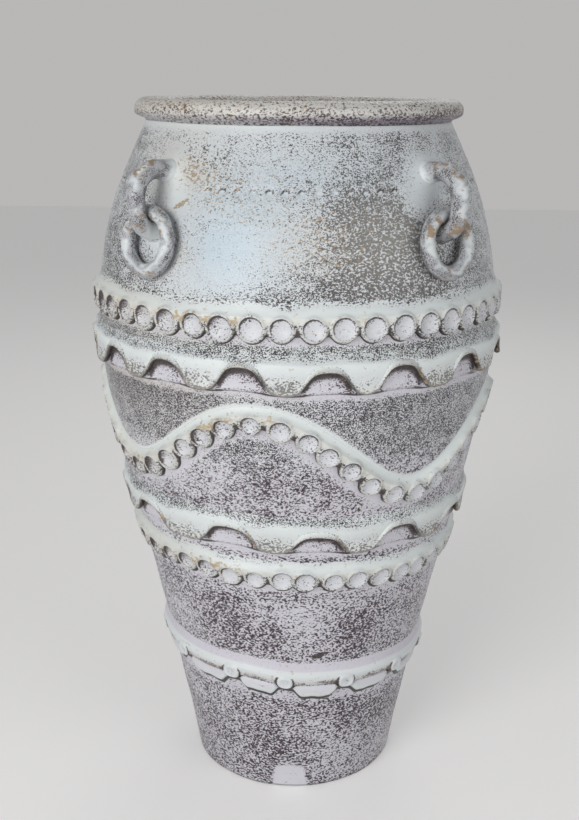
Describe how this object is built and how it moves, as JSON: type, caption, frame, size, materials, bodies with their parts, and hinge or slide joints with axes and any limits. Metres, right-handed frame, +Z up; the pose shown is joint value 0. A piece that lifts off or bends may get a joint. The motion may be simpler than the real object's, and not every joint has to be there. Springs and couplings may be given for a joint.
{
  "type": "storage jar",
  "caption": "Tall ceramic storage jar with applied finger-pressed clay bands, lug handles and loose rings on its shoulder.",
  "frame": {"origin": "centre of the foot, on the floor", "axes": "+Z up the jar, -Y towards the front, +X to the right; two lugs face the front"},
  "size_m": [0.3551, 0.3552, 0.6003],
  "materials": {
    "jar_clay": "mottled white slip over dark brown body, satin",
    "rim_clay": "cream and grey speckle, satin",
    "band_clay": "white slip rubbed off dark edges, satin",
    "handle_clay": "grey-white with rust patches, satin"
  },
  "bodies": {
    "jar": {"base_slab": "jar_clay", "foot_section": "jar_clay", "belly_section": "jar_clay", "shoulder_section": "jar_clay", "rim_coil": "rim_clay", "upper_dimpled_band": "band_clay", "upper_wavy_band": "band_clay", "serpentine_band": "band_clay", "lower_wavy_band": "band_clay", "lower_dimpled_band": "band_clay", "foot_band_upper": "band_clay", "foot_band_lower": "band_clay", "lug_front_left": "handle_clay", "lug_front_right": "handle_clay", "lug_back_left": "handle_clay", "lug_back_right": "handle_clay"},
    "ring_front_left": {"ring_front_left": "handle_clay"},
    "ring_front_right": {"ring_front_right": "handle_clay"},
    "ring_back_left": {"ring_back_left": "handle_clay"},
    "ring_back_right": {"ring_back_right": "handle_clay"}
  },
  "joints": [
    {"name": "ring_front_left_swing", "type": "hinge", "parent": "jar", "child": "ring_front_left", "pos_m": [-0.10949, -0.1216, 0.51932], "axis": [-0.7431, 0.6691, 0], "range_deg": [0, 120]},
    {"name": "ring_front_right_swing", "type": "hinge", "parent": "jar", "child": "ring_front_right", "pos_m": [0.10949, -0.1216, 0.51932], "axis": [-0.7431, -0.6691, 0], "range_deg": [0, 120]},
    {"name": "ring_back_left_swing", "type": "hinge", "parent": "jar", "child": "ring_back_left", "pos_m": [-0.10949, 0.1216, 0.51932], "axis": [0.7431, 0.6691, 0], "range_deg": [0, 120]},
    {"name": "ring_back_right_swing", "type": "hinge", "parent": "jar", "child": "ring_back_right", "pos_m": [0.10949, 0.1216, 0.51932], "axis": [0.7431, -0.6691, 0], "range_deg": [0, 120]}
  ]
}
